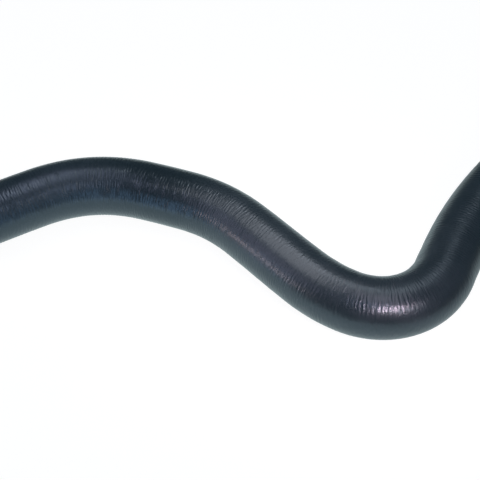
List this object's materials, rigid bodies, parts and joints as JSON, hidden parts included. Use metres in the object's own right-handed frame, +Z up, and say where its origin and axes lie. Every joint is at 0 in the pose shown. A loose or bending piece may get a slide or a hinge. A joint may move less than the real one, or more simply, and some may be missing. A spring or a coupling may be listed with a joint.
{
  "type": "radiator hose",
  "caption": "Moulded black rubber coolant hose with an open bore and plain square-cut ends, bent in one plane to pass round other parts.",
  "frame": {"origin": "bottom centre of the bounding box, on the ground that the hose lies on", "axes": "+X along the longest extent, from the long end towards the end past the tight bend; +Z up, square to the plane of the bends, along the shortest extent"},
  "size_m": [0.4312, 0.1798, 0.041],
  "materials": {
    "rubber": "satin black moulded rubber with fine cross-wise ridges and a faint blue cast"
  },
  "bodies": {
    "root": {"hose": "rubber"}
  },
  "joints": []
}
